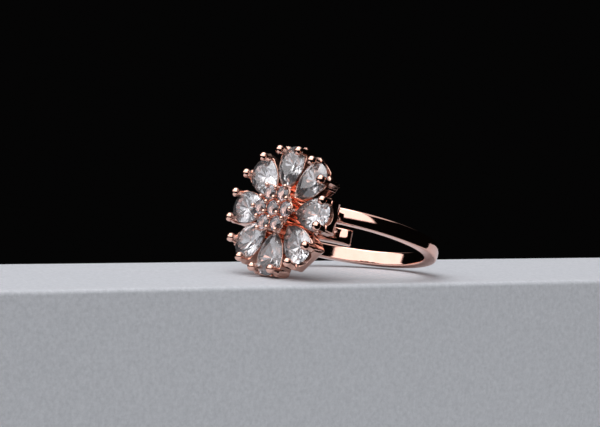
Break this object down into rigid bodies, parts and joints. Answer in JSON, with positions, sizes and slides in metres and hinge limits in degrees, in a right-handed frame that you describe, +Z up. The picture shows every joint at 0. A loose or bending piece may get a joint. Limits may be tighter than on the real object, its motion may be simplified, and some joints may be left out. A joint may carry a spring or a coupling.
{
  "type": "cocktail ring",
  "caption": "Rose-gold flower cocktail ring: pear-cut clear stone petals in open cups round a raised cluster, on a flat bypass band.",
  "frame": {"origin": "centre of the finger hole, midway across the band at its back", "axes": "+Z up from the table the ring rests on, -Y the way the flower looks, +X to the flower's right as it is looked at"},
  "size_m": [0.0201, 0.0245, 0.0143],
  "materials": {
    "rose_gold_band": "mirror-polished rose-gold plating",
    "rose_gold_cast": "tumbled cast surface under rose-gold plating",
    "clear_stone": "faceted clear crystal"
  },
  "bodies": {
    "root": {"shank": "rose_gold_band", "gallery_plate": "rose_gold_cast", "centre_setting": "rose_gold_cast", "petal_cup_1": "rose_gold_cast", "petal_cup_2": "rose_gold_cast", "petal_cup_3": "rose_gold_cast", "petal_cup_4": "rose_gold_cast", "petal_cup_5": "rose_gold_cast", "petal_cup_6": "rose_gold_cast", "petal_cup_7": "rose_gold_cast", "petal_cup_8": "rose_gold_cast", "petal_stone_1": "clear_stone", "petal_stone_2": "clear_stone", "petal_stone_3": "clear_stone", "petal_stone_4": "clear_stone", "petal_stone_5": "clear_stone", "petal_stone_6": "clear_stone", "petal_stone_7": "clear_stone", "petal_stone_8": "clear_stone", "centre_stone": "clear_stone", "halo_stone_1": "clear_stone", "halo_stone_2": "clear_stone", "halo_stone_3": "clear_stone", "halo_stone_4": "clear_stone", "halo_stone_5": "clear_stone", "halo_stone_6": "clear_stone"}
  },
  "joints": []
}
